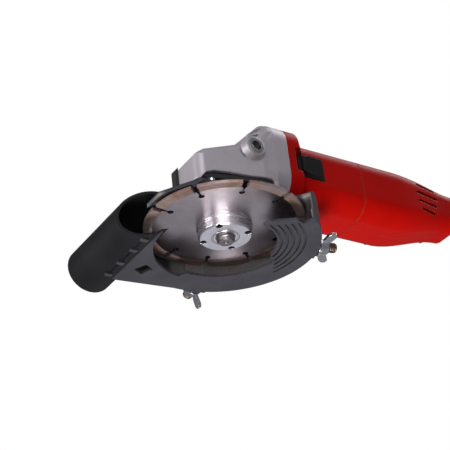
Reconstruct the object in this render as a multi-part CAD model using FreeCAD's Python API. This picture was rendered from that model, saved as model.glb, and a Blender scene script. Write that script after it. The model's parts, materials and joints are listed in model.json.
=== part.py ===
import FreeCAD, Part
import math
import os

os.makedirs("parts", exist_ok=True)
V = FreeCAD.Vector

# ----------------------------------------------------------------------------
# Wall chaser: an angle grinder that carries a dust-extraction chasing shroud
# and a segmented diamond blade.  Millimetres.  While the shapes are built,
# z = 0 is the exposed face of the blade on the spindle axis, +X runs along the
# motor to the rear handle, +Z points from the blade to the gear case and -Y is
# the side on which the blade meets the wall.  Z_SHIFT then moves everything so
# that the row's origin lies on the spindle axis, inside the exposed threaded
# end of the spindle.
# ----------------------------------------------------------------------------
Z_SHIFT = 12.0

BLADE_R = 61.2          # blade radius (125 mm blade, segments slightly worn)
BLADE_T = 2.0           # core thickness
SEG_IN_R = 54.5         # inner radius of the diamond segments
SEG_COUNT = 10
BLADE_BORE_R = 11.11    # 22.2 mm arbor hole
SPINDLE_R = 7.0         # M14 spindle end
SPINDLE_TIP = -14.5
NUT_R = 20.5            # lock nut
NUT_BASE_R = 21.3
NUT_FACE = -10.0
NUT_PIN_PCD_R = 17.4
NUT_PIN_R = 2.5

PLATE_Z = -18.0         # outer face of the shroud's front cover
PLATE_T = 2.5
SHROUD_R = 71.5         # outer radius of the shroud
SKIRT_T = 2.5
COVER_LIP_Z = -8.0      # parting line between cover and back shell
BACK_Z0, BACK_Z1 = 5.0, 8.0
WINDOW_R_SMALL = 47.3
WINDOW_R_LARGE = 54.8
PANEL_R = 38.0
GROOVE_RADII = (41.2, 45.7, 50.1, 54.6, 59.1)
GROOVE_W = 2.0
GROOVE_D = 1.6
NECK_R = 22.0           # neck of the bearing flange that the shroud clamps on
NECK_CLEAR = 0.05
STUD_R = 4.0            # wing-nut studs
STUD_ANGLES = (-15.0, 79.0)
STUD_Z = -13.0

TUBE_X = -62.5          # dust tube axis: parallel to Y
TUBE_Z = 0.0
TUBE_R = 19.0
TUBE_IN_R = 16.8
TUBE_END_Y = 100.0
SOCKET_R = 17.25        # hose socket, last 25 mm of the tube
MOUTH_Y0 = 6.5          # mouth cut: y = MOUTH_Y0 - MOUTH_SLOPE * (x - TUBE_X)
MOUTH_SLOPE = 0.75

AXIS_Z = 52.5           # motor axis
FLANGE_W = 33.5         # half width and half height of the motor flange
FLANGE_HH = 34.5
FLANGE_Z = 53.5         # height of its centre
FLANGE_RC = 20.0
BODY_H = 27.0           # half size of the motor body
BODY_RC = 16.0
WALL = 2.5
X_FLANGE = 44.0         # joint between gear case and motor housing
X_SEAM = 120.0          # joint between motor housing and handle shells
X_REAR = 229.0          # rear end of the handle
HEAD_X = -33.0          # front of the gear case
HEAD_W0 = 21.0          # half width of the gear case at its front
HEAD_W = 32.3           # half width of the gear case where the taper ends
HEAD_XW = 20.0
HEAD_BOT = 24.0

GEAR_N, PIN_N = 38, 11  # crown gear and pinion teeth, module 1
MODULE = 1.0
RUN = 0.04              # radial running clearance


def cyl(r, h, p=(0, 0, 0), d=(0, 0, 1)):
    return Part.makeCylinder(r, h, V(*p), V(*d))


def zc(r, z0, z1, x=0.0, y=0.0):
    return cyl(r, z1 - z0, (x, y, z0))


def xc(r, x0, x1, y=0.0, z=AXIS_Z):
    return cyl(r, x1 - x0, (x0, y, z), (1, 0, 0))


def yc(r, y0, y1, x=0.0, z=0.0):
    return cyl(r, y1 - y0, (x, y0, z), (0, 1, 0))


def box(x0, x1, y0, y1, z0, z1):
    return Part.makeBox(x1 - x0, y1 - y0, z1 - z0, V(x0, y0, z0))


def poly(points, z0, z1):
    pts = [V(x, y, z0) for x, y in points]
    pts.append(pts[0])
    return Part.Face(Part.makePolygon(pts)).extrude(V(0, 0, z1 - z0))


def rr_wire(x, w, h, r, yc0=0.0, zc0=AXIS_Z):
    """Rounded rectangle in the plane x, half sizes w (Y) and h (Z)."""
    e = []
    c = [(w - r, h - r), (-(w - r), h - r), (-(w - r), -(h - r)), (w - r, -(h - r))]
    ang = (0, 90, 180, 270)

    def pt(cx, cz, a):
        return V(x, yc0 + cx + r * math.cos(math.radians(a)), zc0 + cz + r * math.sin(math.radians(a)))

    for i in range(4):
        cx, cz = c[i]
        e.append(Part.Arc(pt(cx, cz, ang[i]), pt(cx, cz, ang[i] + 45), pt(cx, cz, ang[i] + 90)).toShape())
        nx, nz = c[(i + 1) % 4]
        a = pt(cx, cz, ang[i] + 90)
        b = pt(nx, nz, ang[(i + 1) % 4])
        e.append(Part.LineSegment(a, b).toShape())
    return Part.Wire(e)


def loft(stations, ruled=True):
    return Part.makeLoft([rr_wire(*s) for s in stations], True, ruled)


def revolve_z(profile, cx=0.0, cy=0.0):
    """Solid of revolution about Z from (r, z) points."""
    pts = [V(cx + r, cy, z) for r, z in profile]
    pts.append(pts[0])
    return Part.Face(Part.makePolygon(pts)).revolve(V(cx, cy, 0), V(0, 0, 1), 360)


def revolve_x(profile, y=0.0, z=AXIS_Z):
    """Solid of revolution about an X-parallel axis from (x, r) points."""
    pts = [V(x, y, z + r) for x, r in profile]
    pts.append(pts[0])
    return Part.Face(Part.makePolygon(pts)).revolve(V(0, y, z), V(1, 0, 0), 360)


def polar(r, a):
    return (r * math.cos(math.radians(a)), r * math.sin(math.radians(a)))


def arc2(r, a0, a1, z):
    p0, p1, p2 = polar(r, a0), polar(r, (a0 + a1) / 2.0), polar(r, a1)
    return Part.Arc(V(p0[0], p0[1], z), V(p1[0], p1[1], z), V(p2[0], p2[1], z)).toShape()


def seg2(a, b, z):
    return Part.LineSegment(V(a[0], a[1], z), V(b[0], b[1], z)).toShape()


def rot_z(shape, a):
    s = shape.copy()
    s.rotate(V(0, 0, 0), V(0, 0, 1), a)
    return s


def fillet(shape, edges, r):
    try:
        s = shape.makeFillet(r, edges)
        if s.isValid() and s.Volume > 0:
            return s
    except Exception:
        pass
    return shape


def clean(shape):
    try:
        s = shape.removeSplitter()
        if s.isValid():
            return s
    except Exception:
        pass
    return shape


def out(name, shape):
    s = shape.copy()
    s.translate(V(0, 0, Z_SHIFT))
    print(name, "solids", len(s.Solids), "valid", s.isValid(), "vol %.1f" % s.Volume)
    s.exportStep("parts/%s.step" % name)


# ============================ blade and its clamping ==========================
core = zc(SEG_IN_R, 0.0, BLADE_T).cut(zc(BLADE_BORE_R, -1, 3))
segs = []
SLOT0 = 2.0
for i in range(SEG_COUNT):
    a = SLOT0 + 36.0 * i
    # keyhole slot: round end, narrow throat, wide mouth between two segments
    key = zc(2.3, -1, 3, 47.6, 0.0)
    throat = poly([(47.0, -0.7), (52.0, -0.8), (60.0, -2.9), (60.0, 1.5), (52.0, 0.8), (47.0, 0.7)], -1, 3)
    core = core.cut(rot_z(key.fuse(throat), a))
    g0 = math.degrees(2.9 / 59.0)
    g1 = math.degrees(1.8 / 59.0)
    a0, a1 = a + g1, a + 36.0 - g0
    z0 = -0.25
    w = Part.Wire([arc2(BLADE_R, a0, a1, z0), seg2(polar(BLADE_R, a1), polar(SEG_IN_R, a1), z0),
                   arc2(SEG_IN_R, a1, a0, z0), seg2(polar(SEG_IN_R, a0), polar(BLADE_R, a0), z0)])
    segs.append(Part.Face(w).extrude(V(0, 0, BLADE_T + 0.5)))
out("blade_core", clean(core))
out("blade_segments", Part.makeCompound(segs))

# inner flange: seats on the spindle shoulder, its pilot centres the blade
out("inner_flange", revolve_z([(SPINDLE_R + 0.0, 0.3), (BLADE_BORE_R - 0.05, 0.3), (BLADE_BORE_R - 0.05, BLADE_T),
                               (20.0, BLADE_T), (20.0, 4.2), (14.0, 5.2), (14.0, 6.0), (SPINDLE_R, 6.0)]))

# lock nut with four pin-wrench holes
nut = revolve_z([(SPINDLE_R, 0.0), (NUT_BASE_R, 0.0), (NUT_BASE_R, -2.6), (NUT_R, -3.4), (NUT_R, NUT_FACE + 1.2),
                 (NUT_R - 1.2, NUT_FACE), (10.9, NUT_FACE), (10.6, NUT_FACE + 0.5), (9.6, NUT_FACE + 0.5),
                 (9.3, NUT_FACE), (SPINDLE_R + 0.6, NUT_FACE), (SPINDLE_R, NUT_FACE + 0.6)])
for a in (-57.0, 33.0, 123.0, 213.0):
    x, y = polar(NUT_PIN_PCD_R, a + 10.0)
    nut = nut.cut(zc(NUT_PIN_R, NUT_FACE - 1, NUT_FACE + 5.0, x, y))
out("lock_nut", nut)

# spindle
out("spindle", revolve_z([(0.0, SPINDLE_TIP), (5.6, SPINDLE_TIP), (SPINDLE_R, SPINDLE_TIP + 1.4), (SPINDLE_R, NUT_FACE - 0.2),
                          (SPINDLE_R - 0.5, NUT_FACE), (SPINDLE_R - 0.5, NUT_FACE + 0.8), (SPINDLE_R, NUT_FACE + 1.2), (SPINDLE_R, 6.0),
                          (9.5, 6.0), (9.5, 14.0), (8.5, 14.0), (8.5, 15.0), (6.0, 15.0), (6.0, 47.0), (5.0, 47.0),
                          (5.0, 48.5), (4.0, 49.0), (4.0, 56.5), (0.0, 56.5)]))

# ============================ gears ===========================================
# Straight bevel pair, shaft angle 90 degrees, apex at the crossing of the spindle
# and motor axes.  The teeth are thinned for backlash.
RG, RP = MODULE * GEAR_N / 2.0, MODULE * PIN_N / 2.0
CONE = math.hypot(RG, RP)
FACE_W = 5.6
ADD, DED = 0.75, 1.25
T_HALF = 0.52
TAN20 = math.tan(math.radians(20.0))


def tooth(radial, axial, tang, apex, extra_root):
    """One tooth as a loft between its outer and inner sections.
    radial, axial: unit vectors of the pitch point's direction parts."""
    def section(k):
        P = apex.add(radial[0].multiply(1.0).normalize().multiply(radial[1] * k)).add(
            axial[0].multiply(1.0).normalize().multiply(axial[1] * k))
        g = (V(radial[0]).normalize().multiply(radial[1])).add(V(axial[0]).normalize().multiply(axial[1]))
        g.normalize()
        n = g.cross(tang)
        n.normalize()
        if n.dot(V(radial[0])) < 0:
            n = n.multiply(-1)
        t = V(tang).normalize()
        pts = []
        for hgt, half in ((-DED - extra_root, T_HALF + (DED + extra_root) * TAN20 * 0.8),
                          (0.0, T_HALF), (ADD, T_HALF - ADD * TAN20 * 1.05)):
            pts.append((hgt * k, half * k))
        ring = []
        for hgt, half in pts:
            ring.append(P.add(V(n).multiply(hgt)).add(V(t).multiply(half)))
        for hgt, half in reversed(pts):
            ring.append(P.add(V(n).multiply(hgt)).add(V(t).multiply(-half)))
        ring.append(ring[0])
        return Part.makePolygon(ring)
    return Part.makeLoft([section(1.0), section((CONE - FACE_W) / CONE)], True, True)


apex = V(0, 0, AXIS_Z)
# crown gear: pitch circle radius RG at z = AXIS_Z - RP, teeth facing +Z
k_in = (CONE - FACE_W) / CONE
gear_tooth0 = tooth((V(1, 0, 0), RG), (V(0, 0, -1), RP), V(0, 1, 0), apex, 0.6)


def cone_pt(k, dn, Rr, Ra):
    """Point at scale k on the pitch cone, offset dn*k along the outward normal."""
    g = math.hypot(Rr, Ra)
    nr, na = Ra / g, -Rr / g      # normal away from the own axis
    return (Rr * k + nr * dn * k, Ra * k + na * dn * k)


def apex_z(t):
    return AXIS_Z - t


# root cone of the crown gear as a revolved blank (r, distance below apex)
def gear_profile():
    o_r, o_a = cone_pt(1.0, -DED, RG, RP)
    i_r, i_a = cone_pt(k_in, -DED, RG, RP)
    dr, da = (o_r - i_r) * 0.08, (o_a - i_a) * 0.08
    return (o_r + dr, apex_z(o_a + da)), (i_r - dr, apex_z(i_a - da))


(o_r, o_z), (i_r, i_z) = gear_profile()
blank = revolve_z([(6.0 + 0.0, 33.0), (9.5, 33.0), (9.5, 37.0), (o_r, 39.0), (o_r, o_z), (i_r, i_z), (i_r - 0.4, 41.0),
                   (9.0, 41.0), (9.0, 45.6), (6.0, 45.6)])
teeth = [rot_z(gear_tooth0, 360.0 * i / GEAR_N) for i in range(GEAR_N)]
gear = blank.multiFuse(teeth)
out("crown_gear", clean(gear))

# pinion on the armature shaft
pin_tooth0 = tooth((V(0, 0, -1), RP), (V(1, 0, 0), RG), V(0, 1, 0), apex, 0.5)
po_r, po_a = cone_pt(1.0, -DED, RP, RG)
pi_r, pi_a = cone_pt(k_in, -DED, RP, RG)
pin_blank = revolve_x([(pi_a, 2.0), (pi_a, pi_r), (po_a, po_r), (po_a + 3.0, po_r), (po_a + 3.0, 2.0)])
pteeth = []
for i in range(PIN_N):
    t = pin_tooth0.copy()
    t.rotate(apex, V(1, 0, 0), 360.0 * (i + 0.5) / PIN_N)
    pteeth.append(t)
pinion = pin_blank.multiFuse(pteeth)
PIN_SH = 2.0
out("pinion", clean(pinion))

# ============================ bearing flange and bearings ======================
def head_plan(off, z0, z1, x_end=32.0):
    """Tapered plan of the gear case, moved inwards by off; wide rounding on the far side."""
    sl = (HEAD_W - HEAD_W0) / (HEAD_XW - HEAD_X)
    o = off * math.hypot(1.0, sl)
    xf = HEAD_X + off
    wf = HEAD_W0 + (xf - HEAD_X) * sl - o
    p = poly([(xf, -wf), (HEAD_XW, -(HEAD_W - o)), (x_end, -(HEAD_W - o)), (x_end, HEAD_W - o), (HEAD_XW, HEAD_W - o), (xf, wf)], z0, z1)
    lng = z1 - z0 - 0.01
    near = [e for e in p.Edges if e.BoundBox.ZLength > lng and e.BoundBox.XMax < 0 and e.BoundBox.YMax < 0]
    p = fillet(p, near, 8.0 - off)
    far = [e for e in p.Edges if e.BoundBox.ZLength > lng and e.BoundBox.XMax < xf + 0.5 and e.BoundBox.YMin > 0]
    return fillet(p, far, 20.0 - off)


bf = head_plan(1.6, 25.0, 29.0).common(box(-28.0, 27.0, -40.0, 40.0, 20.0, 35.0))
bf = bf.fuse(zc(NECK_R, 9.0, 25.0))
bf = bf.cut(zc(16.0, 15.0, 30.0)).cut(zc(10.6, 8.0, 16.0))
groove = zc(NECK_R + 1, 19.6, 21.0).cut(zc(NECK_R - 0.8, 19.0, 22.0))
bf = bf.cut(groove)
SCREWS = [(-20.0, -18.5), (-20.0, 18.5), (22.5, -23.0), (22.5, 23.0)]
for x, y in SCREWS:
    bf = bf.cut(zc(2.0, 24.0, 30.0, x, y))
out("bearing_flange", clean(bf))


def simple_bearing(r_in, r_out, z0, z1):
    """Races with a shielded gap, one closed ring: the shields sit 0.4 mm back."""
    rm1 = r_in + (r_out - r_in) * 0.3
    rm2 = r_in + (r_out - r_in) * 0.7
    return [(r_in, z0), (rm1, z0), (rm1, z0 + 0.5), (rm2, z0 + 0.5), (rm2, z0), (r_out, z0),
            (r_out, z1), (rm2, z1), (rm2, z1 - 0.5), (rm1, z1 - 0.5), (rm1, z1), (r_in, z1)]


out("lower_bearing", revolve_z(simple_bearing(6.0 + RUN, 16.0, 15.2, 25.0)))
out("bearing_retainer", revolve_z([(8.5, 25.0), (16.0, 25.0), (16.0, 27.0), (8.5, 27.0)]))
out("upper_bushing", revolve_z([(4.0 + RUN, 49.6), (7.0, 49.6), (7.0, 56.6), (4.0 + RUN, 56.6)]))

# four socket-head screws of the bearing flange
hs = []
for x, y in SCREWS:
    s = zc(3.6, 21.6, 25.0, x, y).fuse(zc(2.0, 25.0, 38.0, x, y))
    s = s.cut(zc(1.6, 21.0, 23.4, x, y))
    hs.append(s)
out("flange_screws", Part.makeCompound(hs))

# ============================ gear case =======================================
# nose: rounded plan outline cut by the side profile
plan = head_plan(0.0, HEAD_BOT, 95.0)
prof = [(-38.0, 20.0), (60.0, 20.0), (60.0, 88.0), (30.0, 88.0), (21.0, 79.5), (4.0, 62.5), (-24.0, 53.0),
        (-31.5, 46.5), (-38.0, 39.0)]
pts = [V(x, -60, z) for x, z in prof]
pts.append(pts[0])
side = Part.Face(Part.makePolygon(pts)).extrude(V(0, 120, 0))
nose = plan.common(side)
# envelope that rounds the long top edges and grows into the motor flange
TOPS = [(-38.0, 20.4, 42.0, 7.0), (-31.0, 21.9, 48.0, 7.5), (-24.0, 23.3, 53.0, 8.5), (4.0, 29.2, 62.6, 13.0), (21.0, 32.9, 80.0, 18.0),
        (28.0, 33.5, 87.0, 20.0), (33.0, 33.5, 88.0, 20.0), (60.0, 33.5, 88.0, 20.0)]
envelope = loft([(x, w, t / 2.0, r, 0.0, t / 2.0) for x, w, t, r in TOPS])
nose = nose.common(envelope)
# shoulder: blends the nose into the square motor flange
shoulder = loft([(13.0, 30.4, 20.0, 12.0, 0.0, 48.0), (32.0, FLANGE_W, FLANGE_HH, FLANGE_RC, 0.0, FLANGE_Z),
                 (X_FLANGE, FLANGE_W, FLANGE_HH, FLANGE_RC, 0.0, FLANGE_Z)])
case = nose.fuse(shoulder)
# raised bosses of the side-handle holes
for sy in (-1, 1):
    b = Part.makeCone(11.0, 8.2, 5.5, V(13.0, sy * 30.0, 54.5), V(0, sy, 0))
    case = case.fuse(b)
case = clean(case)
# cavities: gear chamber, flange pocket, bushing seat, pinion bore, bearing seat, fan chamber
case = case.cut(head_plan(1.5, HEAD_BOT - 1, 29.0).common(box(-28.1, 27.1, -40.0, 40.0, 20.0, 35.0)))
# arched relief along the lower edge of both sides
arch = [(-30.5, 22.0), (-29.5, 25.0), (-26.0, 28.8), (-20.0, 30.8), (-8.0, 30.8), (8.0, 29.6), (27.0, 29.6), (28.6, 28.4), (28.6, 22.0)]
apts = [V(x, -60, z) for x, z in arch]
apts.append(apts[0])
relief = Part.Face(Part.makePolygon(apts)).extrude(V(0, 120, 0)).cut(head_plan(4.2, 10.0, 40.0, 60.0))
case = case.cut(relief)
case = case.cut(zc(23.5, 28.0, 49.6)).cut(zc(7.0, 49.0, 56.6))
case = case.cut(xc(9.5, 8.0, 30.0)).cut(xc(11.0, 26.0, 34.0)).cut(xc(6.5, 33.0, 36.5))
case = case.cut(xc(27.5, 35.5, X_FLANGE + 1))
for x, y in SCREWS:
    case = case.cut(zc(2.0, 28.0, 38.0, x, y))
# side-handle inserts' seats
for sy in (-1, 1):
    case = case.cut(cyl(6.4, 12.0, (13.0, sy * 24.0, 54.5), (0, sy, 0)))
# exhaust slots on the shoulder, and the low side slots by the flange
for sy in (-1, 1):
    y0, y1 = (14.0, 30.5) if sy > 0 else (-30.5, -14.0)
    case = case.cut(box(4.0, 24.0, y0, y1, 67.0, 70.5))
    y0, y1 = (14.0, 26.0) if sy > 0 else (-26.0, -14.0)
    case = case.cut(box(22.0, 36.5, y0, y1, 67.0, 70.5))
# four case screws: counterbores in the shoulder, holes through the flange
CASE_SCREWS = [(sy * 23.5, AXIS_Z + sz * 23.5) for sy in (-1, 1) for sz in (-1, 1)]
for y, z in CASE_SCREWS:
    case = case.cut(xc(4.4, 5.0, 31.0, y, z)) if z > AXIS_Z else case.cut(xc(4.4, 28.5, 33.0, y, z))
    case = case.cut(xc(2.1, 20.0, 50.0, y, z))
# spindle-lock bore through the top of the nose
LOCK_X = -13.3
LOCK_PIN_X = -10.8
case = case.cut(zc(1.55, 40.0, 70.0, LOCK_PIN_X, 0.0)).cut(zc(5.3, 50.6, 70.0, LOCK_X, 0.0))
out("gear_case", clean(case))

inserts = []
for sy in (-1, 1):
    s = cyl(6.4, 12.0, (13.0, sy * 24.0, 54.5), (0, sy, 0)).cut(cyl(4.0, 14.0, (13.0, sy * 23.0, 54.5), (0, sy, 0)))
    inserts.append(s)
out("handle_inserts", Part.makeCompound(inserts))

cs = []
for y, z in CASE_SCREWS:
    xh = 27.4 if z > AXIS_Z else 29.4
    s = xc(4.0, xh, xh + 3.4, y, z).fuse(xc(2.1, xh + 3.4, 54.0, y, z))
    s = s.cut(xc(1.7, xh - 0.5, xh + 2.0, y, z))
    cs.append(s)
# the counterbore bottoms meet the heads
out("gear_case_screws", Part.makeCompound(cs))

# spindle lock: spring-loaded button on the top of the nose
btn = zc(1.5, 45.2, 54.9, LOCK_PIN_X, 0.0).fuse(zc(5.2, 54.8, 61.0, LOCK_X, 0.0))
btn = fillet(btn, [e for e in btn.Edges if e.BoundBox.ZMin > 60.9], 1.2)
out("spindle_lock_button", btn)
spr = zc(5.0, 50.65, 54.7, LOCK_X, 0.0).cut(zc(4.15, 50.0, 55.0, LOCK_X, 0.0))
out("spindle_lock_spring", spr)

# black rest pad that wraps the far corner of the nose
pad = head_plan(-2.6, 27.5, 56.0).common(box(-60.0, -9.0, 5.5, 60.0, 0.0, 60.0))
padtrim = [V(-40, 0, 20), V(5, 0, 20), V(5, 0, 55), V(-12, 0, 54.0), V(-24, 0, 52.5), V(-31, 0, 49.5), V(-34.6, 0, 45.5), V(-37, 0, 39)]
padtrim.append(padtrim[0])
pad = pad.common(Part.Face(Part.makePolygon(padtrim)).extrude(V(0, 60, 0)))
pad = pad.cut(head_plan(0.0, HEAD_BOT, 95.0))
out("nose_pad", clean(pad))

# ============================ motor housing ===================================
mh_out = loft([(X_FLANGE, FLANGE_W, FLANGE_HH, FLANGE_RC, 0.0, FLANGE_Z), (56.0, FLANGE_W, FLANGE_HH, FLANGE_RC, 0.0, FLANGE_Z),
               (62.8, BODY_H, BODY_H, BODY_RC), (X_SEAM, BODY_H, BODY_H, BODY_RC)])
mh_in = loft([(X_FLANGE - 1, FLANGE_W - WALL, FLANGE_HH - WALL, FLANGE_RC - WALL, 0.0, FLANGE_Z),
              (55.0, FLANGE_W - WALL, FLANGE_HH - WALL, FLANGE_RC - WALL, 0.0, FLANGE_Z),
              (61.8, BODY_H - WALL, BODY_H - WALL, BODY_RC - WALL),
              (X_SEAM + 1, BODY_H - WALL, BODY_H - WALL, BODY_RC - WALL)])
housing = mh_out.cut(mh_in)
# screw bosses for the gear-case screws
for y, z in CASE_SCREWS:
    housing = housing.fuse(xc(5.0, X_FLANGE, 56.0, y, z).common(mh_out)).cut(xc(2.1, X_FLANGE - 1, 54.0, y, z))
# switch recess on the wall side, and the slot for the switch leg
SW_X0, SW_X1, SW_Z0, SW_Z1 = 58.0, 81.6, 44.5, 64.0
SW_TRAVEL = 6.0
floor = box(SW_X0 - SW_TRAVEL - 1.6, SW_X1 + 1.5, -29.5, -24.0, SW_Z0 - 3.2, SW_Z1 + 3.2)
housing = housing.fuse(floor.common(mh_out))
housing = housing.cut(box(SW_X0 - SW_TRAVEL - 0.6, SW_X1 + 0.6, -40.0, -25.6, SW_Z0 - 0.9, SW_Z1 + 0.9))
housing = housing.cut(box(SW_X0 + 1.8, SW_X0 + 16.2, -30.0, -20.0, 52.0, 57.0))
# cooling ribs are cut in the lower side of the seam ring: a shallow parting groove
seam = loft([(X_SEAM - 0.6, BODY_H + 1, BODY_H + 1, BODY_RC), (X_SEAM + 0.6, BODY_H + 1, BODY_H + 1, BODY_RC)]).cut(
    loft([(X_SEAM - 1, BODY_H - 0.35, BODY_H - 0.35, BODY_RC - 0.35), (X_SEAM + 1, BODY_H - 0.35, BODY_H - 0.35, BODY_RC - 0.35)]))
housing = housing.cut(seam)
out("motor_housing", clean(housing))

# ============================ handle shells ===================================
st = [(X_SEAM, BODY_H, BODY_H, BODY_RC), (140.0, BODY_H, BODY_H, BODY_RC), (160.0, BODY_H, BODY_H, BODY_RC),
      (178.0, 25.6, 25.0, 15.2, 0.0, 53.6), (196.0, 22.6, 21.6, 13.6, 0.0, 55.4), (212.0, 19.8, 18.6, 12.0, 0.0, 56.6),
      (X_REAR, 18.6, 17.4, 11.4, 0.0, 57.0)]
h_out = loft(st[:3]).fuse(Part.makeLoft([rr_wire(*s) for s in st[2:]], True, False))
st_i = [(s[0], s[1] - WALL, s[2] - WALL, s[3] - WALL) + tuple(s[4:]) for s in st]
h_in = loft([(X_SEAM - 1, BODY_H - WALL, BODY_H - WALL, BODY_RC - WALL)] + st_i[1:3]).fuse(
    Part.makeLoft([rr_wire(*s) for s in st_i[2:]], True, False))
h_in = h_in.common(box(0.0, X_REAR - 3.0, -60, 60, 0, 120))
handle = h_out.cut(h_in)
# rear edge softened
handle = fillet(handle, [e for e in handle.Edges if e.BoundBox.XMin > X_REAR - 0.01], 3.0)
# cord inlet at the rear end
INLET_Z = 57.0
handle = handle.cut(xc(8.0, X_REAR - 5.0, X_REAR + 5.0, 0.0, INLET_Z))
# air intake slots on both sides
for z, xa, xb in ((68.0, 181.0, 203.0), (60.5, 179.0, 205.0), (52.8, 180.5, 203.0), (45.0, 183.0, 199.0)):
    for sy in (-1, 1):
        y0, y1 = (15.0, 40.0) if sy > 0 else (-40.0, -15.0)
        handle = handle.cut(box(xa, xb, y0, y1, z - 1.5, z + 1.5))
handle = handle.cut(seam)
# screw bosses between the shells
H_SCREWS = [(152.0, 75.0), (152.0, 30.0), (214.0, 69.0), (214.0, 45.0)]
for x, z in H_SCREWS:
    handle = handle.fuse(yc(3.6, -24.0, 24.0, x, z).common(h_out)).cut(yc(1.6, -13.0, 40.0, x, z))
    handle = handle.cut(yc(3.15, 15.5, 40.0, x, z))
left = handle.common(box(0, 300, -60, 0, 0, 150))
right = handle.common(box(0, 300, 0, 60, 0, 150))
out("handle_shell_left", clean(left))
out("handle_shell_right", clean(right))
hsc = []
for x, z in H_SCREWS:
    s = yc(1.6, -12.0, 15.5, x, z).fuse(yc(3.1, 15.5, 18.8, x, z))
    s = s.cut(box(x - 2.4, x + 2.4, 17.6, 20, z - 0.45, z + 0.45)).cut(box(x - 0.45, x + 0.45, 17.6, 20, z - 2.4, z + 2.4))
    hsc.append(s)
# the bosses end where the screw heads seat
out("handle_screws", Part.makeCompound(hsc))

# cord inlet gland (the cord itself is left out)
gland = revolve_x([(X_REAR - 6.5, 3.6), (X_REAR - 6.5, 10.5), (X_REAR - 3.2, 10.5), (X_REAR - 3.2, 7.9), (X_REAR + 0.2, 7.9),
                   (X_REAR + 0.2, 9.4), (X_REAR + 2.6, 8.9), (X_REAR + 4.0, 6.6), (X_REAR + 4.0, 3.6)], 0.0, INLET_Z)
out("cord_inlet_gland", gland)

# ============================ motor ===========================================
SH_R = 4.0
shaft = revolve_x([(po_a - 6.0, 0.0), (po_a - 6.0, 2.0), (23.6, 2.0), (23.6, SH_R), (36.0, SH_R), (36.0, 5.0), (142.5, 5.0),
                   (142.5, 3.5), (154.0, 3.5), (154.0, 0.0)])
out("armature_shaft", shaft)
fb = simple_bearing(SH_R + RUN, 11.0, 26.6, 33.9)
out("front_motor_bearing", revolve_x([(a, b) for b, a in fb]))
out("rear_motor_bearing", revolve_x([(a, b) for b, a in simple_bearing(3.5 + RUN, 9.5, 144.0, 151.0)]))

# laminated core with winding slots
corea = xc(15.6, 77.0, 115.0).cut(xc(5.0, 70.0, 120.0))
for i in range(12):
    s = box(76.0, 116.0, -0.9, 0.9, AXIS_Z + 9.0, AXIS_Z + 17.0)
    s.rotate(V(0, 0, AXIS_Z), V(1, 0, 0), 30.0 * i)
    corea = corea.cut(s)
out("armature_core", clean(corea))
wf = revolve_x([(70.0, 5.0), (70.0, 10.5), (72.0, 13.2), (77.0, 13.6), (77.0, 5.0)])
wr = revolve_x([(115.0, 5.0), (115.0, 13.6), (119.0, 13.2), (121.5, 10.0), (121.5, 5.0)])
out("armature_windings", Part.makeCompound([wf, wr]))
comm = xc(10.5, 123.0, 140.0).cut(xc(5.0, 120.0, 145.0))
for i in range(24):
    s = box(122.0, 141.0, -0.25, 0.25, AXIS_Z + 9.3, AXIS_Z + 12.0)
    s.rotate(V(0, 0, AXIS_Z), V(1, 0, 0), 15.0 * i)
    comm = comm.cut(s)
out("commutator", clean(comm))

# cooling fan
fan = xc(8.0, 46.0, 60.0).fuse(xc(23.4, 57.5, 60.0))
blades = []
for i in range(13):
    s = box(47.5, 57.6, -0.8, 0.8, AXIS_Z + 7.5, AXIS_Z + 25.0)
    s.rotate(V(52, 0, AXIS_Z + 16.0), V(0, 0, 1), 0.0)
    s.rotate(V(0, 0, AXIS_Z), V(1, 0, 0), 360.0 / 13 * i)
    blades.append(s)
fan = fan.multiFuse(blades).cut(xc(5.0, 40.0, 65.0))
fan = fan.common(xc(23.4, 40.0, 65.0))
out("cooling_fan", clean(fan))

# air baffle ring between fan and stator
baffle = loft([(62.0, 23.6, 23.6, 12.6), (64.6, 23.6, 23.6, 12.6)]).cut(xc(17.0, 60.0, 66.0))
baffle = baffle.cut(box(61.0, 66.0, -30.0, -15.0, 50.0, 80.0))
out("air_baffle", clean(baffle))

# field: laminations with two flats, two coils
stator = xc(23.0, 78.0, 114.0).cut(xc(16.2, 70.0, 120.0))
for sy in (-1, 1):
    y0, y1 = (20.0, 30.0) if sy > 0 else (-30.0, -20.0)
    stator = stator.cut(box(70, 120, y0, y1, 20, 90))
for sz in (-1, 1):
    z0, z1 = (AXIS_Z + 14.0, AXIS_Z + 19.0) if sz > 0 else (AXIS_Z - 19.0, AXIS_Z - 14.0)
out("field_laminations", clean(stator))
coils = []
for sz in (-1, 1):
    for xa, xb in ((71.5, 78.0), (114.0, 120.5)):
        ringc = xc(22.0, xa, xb).cut(xc(16.4, xa - 1, xb + 1))
        z0, z1 = (AXIS_Z + 8.0, AXIS_Z + 30.0) if sz > 0 else (AXIS_Z - 30.0, AXIS_Z - 8.0)
        c1 = ringc.common(box(xa, xb, -16.5, 16.5, z0, z1))
        coils.append(c1)
out("field_coils", Part.makeCompound(coils))

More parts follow.
